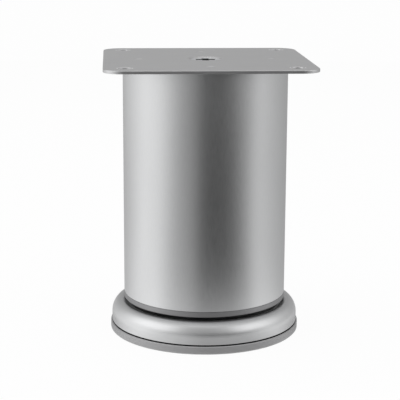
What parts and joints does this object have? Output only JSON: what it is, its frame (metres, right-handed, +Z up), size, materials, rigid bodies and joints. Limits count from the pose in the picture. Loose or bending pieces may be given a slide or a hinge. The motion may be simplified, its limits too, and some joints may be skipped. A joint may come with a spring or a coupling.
{
  "type": "adjustable furniture leg",
  "caption": "Round satin aluminium furniture leg under a square screw-on steel plate, with a rounded foot ring that is turned to raise or lower it on a swivelling pad.",
  "frame": {"origin": "on the floor, at the middle of the foot pad, with the foot as pictured", "axes": "+Z up the tube to the mounting plate's face, X and Y along the plate's sides"},
  "size_m": [0.074, 0.074, 0.1007],
  "materials": {
    "plate_steel": "satin, plated",
    "fastener_steel": "bright zinc",
    "plug_plastic": "moulded, satin",
    "tube_aluminium": "satin anodised",
    "insert_brass": "turned",
    "ring_aluminium": "satin anodised",
    "pad_plastic": "moulded, matt"
  },
  "bodies": {
    "leg": {"mounting_plate": "plate_steel", "tie_screw": "fastener_steel", "tie_nut": "fastener_steel", "top_plug": "plug_plastic", "tube": "tube_aluminium", "bottom_plug": "plug_plastic", "threaded_insert": "insert_brass"},
    "base": {"foot_pad": "pad_plastic"},
    "foot": {"foot_stud": "fastener_steel", "ring_nut": "fastener_steel", "foot_ring": "ring_aluminium"}
  },
  "joints": [
    {"name": "foot_height", "type": "slide", "parent": "base", "child": "leg", "axis": [0, 0, 1], "range_m": [-0.0007, 0.015]},
    {"name": "foot_turn", "type": "hinge", "parent": "base", "child": "foot", "pos_m": [0, 0, 0.0036], "axis": [0, 0, -1], "range_deg": [-168, 3600]}
  ],
  "couplings": [
    {"joint": "foot_turn", "follows": "foot_height", "rad_per_m": 4188.8}
  ]
}
